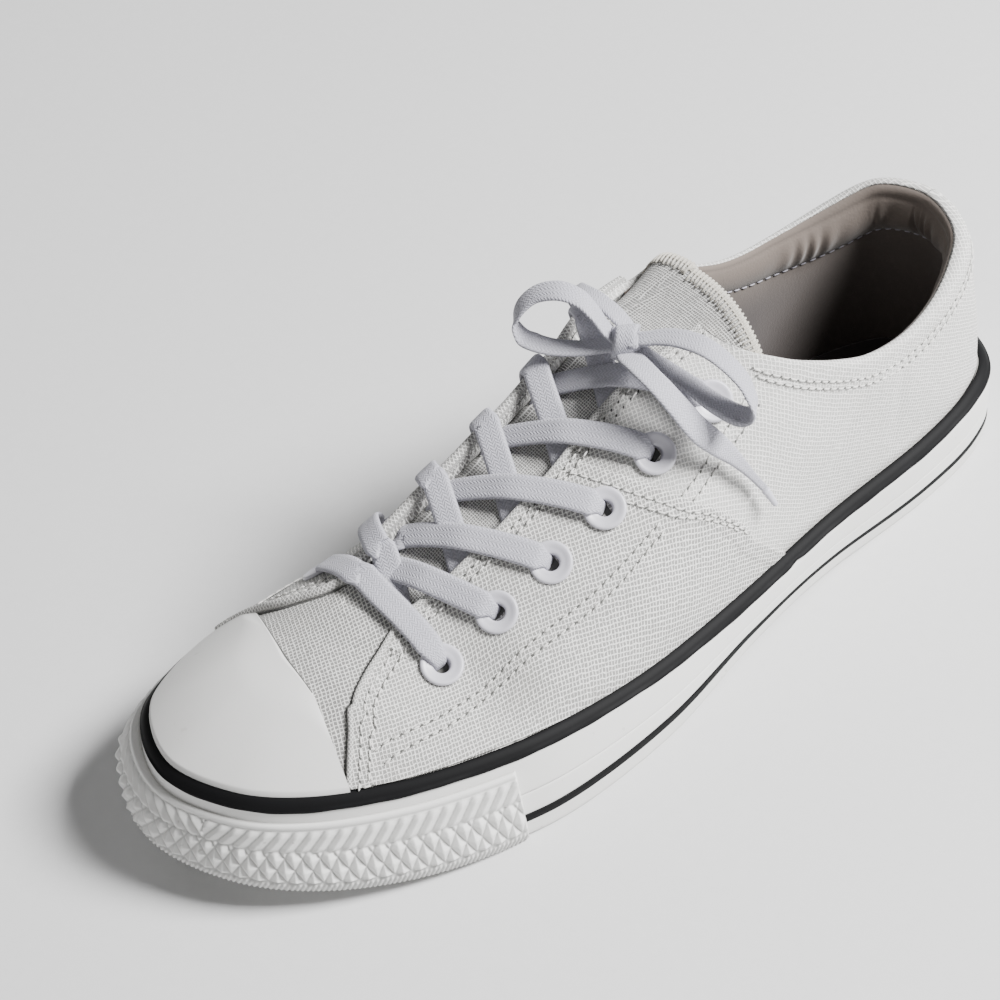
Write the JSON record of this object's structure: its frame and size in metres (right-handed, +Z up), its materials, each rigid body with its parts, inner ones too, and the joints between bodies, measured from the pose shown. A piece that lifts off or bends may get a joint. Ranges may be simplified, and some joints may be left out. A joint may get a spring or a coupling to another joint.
{
  "type": "canvas sneaker",
  "caption": "Low-top canvas sneaker for the left foot with rubber toe cap, sidewall and sole, a tongue and a tied flat lace, standing empty.",
  "frame": {"origin": "bottom centre of the shoe's bounding box, measured without the bow of the lace, on the ground plane under the sole", "axes": "+Z up, +Y towards the heel, -Y towards the toe, +X towards the lateral (outer) side of this left shoe"},
  "size_m": [0.1068, 0.2882, 0.1039],
  "materials": {
    "canvas": "heathered white and grey basket weave cotton canvas, matt",
    "tongue_canvas": "grey diagonal canvas with an overlocked edge, matt",
    "sidewall_rubber": "white vulcanised rubber with a gloss black stripe at its top edge, satin",
    "outsole_rubber": "off-white rubber, satin",
    "cap_rubber": "smooth white rubber, satin",
    "insole": "grey cotton sock on a foam insole, matt",
    "eyelet": "grey-lilac enamel on a pressed ring, satin",
    "lace": "grey-lilac flat cotton lace with a fine chevron weave, matt",
    "aglet": "pale plastic film over the lace's end, satin"
  },
  "bodies": {
    "root": {"outsole": "outsole_rubber", "foxing": "sidewall_rubber", "toe_bumper": "sidewall_rubber", "insole": "insole", "upper": "canvas", "toe_cap": "cap_rubber", "tongue": "tongue_canvas", "eyelet_lateral_1": "eyelet", "eyelet_medial_1": "eyelet", "eyelet_lateral_2": "eyelet", "eyelet_medial_2": "eyelet", "eyelet_lateral_3": "eyelet", "eyelet_medial_3": "eyelet", "eyelet_lateral_4": "eyelet", "eyelet_medial_4": "eyelet", "eyelet_lateral_5": "eyelet", "eyelet_medial_5": "eyelet", "eyelet_lateral_6": "eyelet", "eyelet_medial_6": "eyelet", "lace_bar": "lace", "lace_crossing_1": "lace", "lace_crossing_2": "lace", "lace_crossing_3": "lace", "lace_crossing_4": "lace", "lace_crossing_5": "lace", "lace_knot": "lace", "lace_loop_left": "lace", "lace_loop_right": "lace", "lace_end_lateral": "lace", "lace_end_medial": "lace", "lace_aglet": "aglet"}
  },
  "joints": []
}
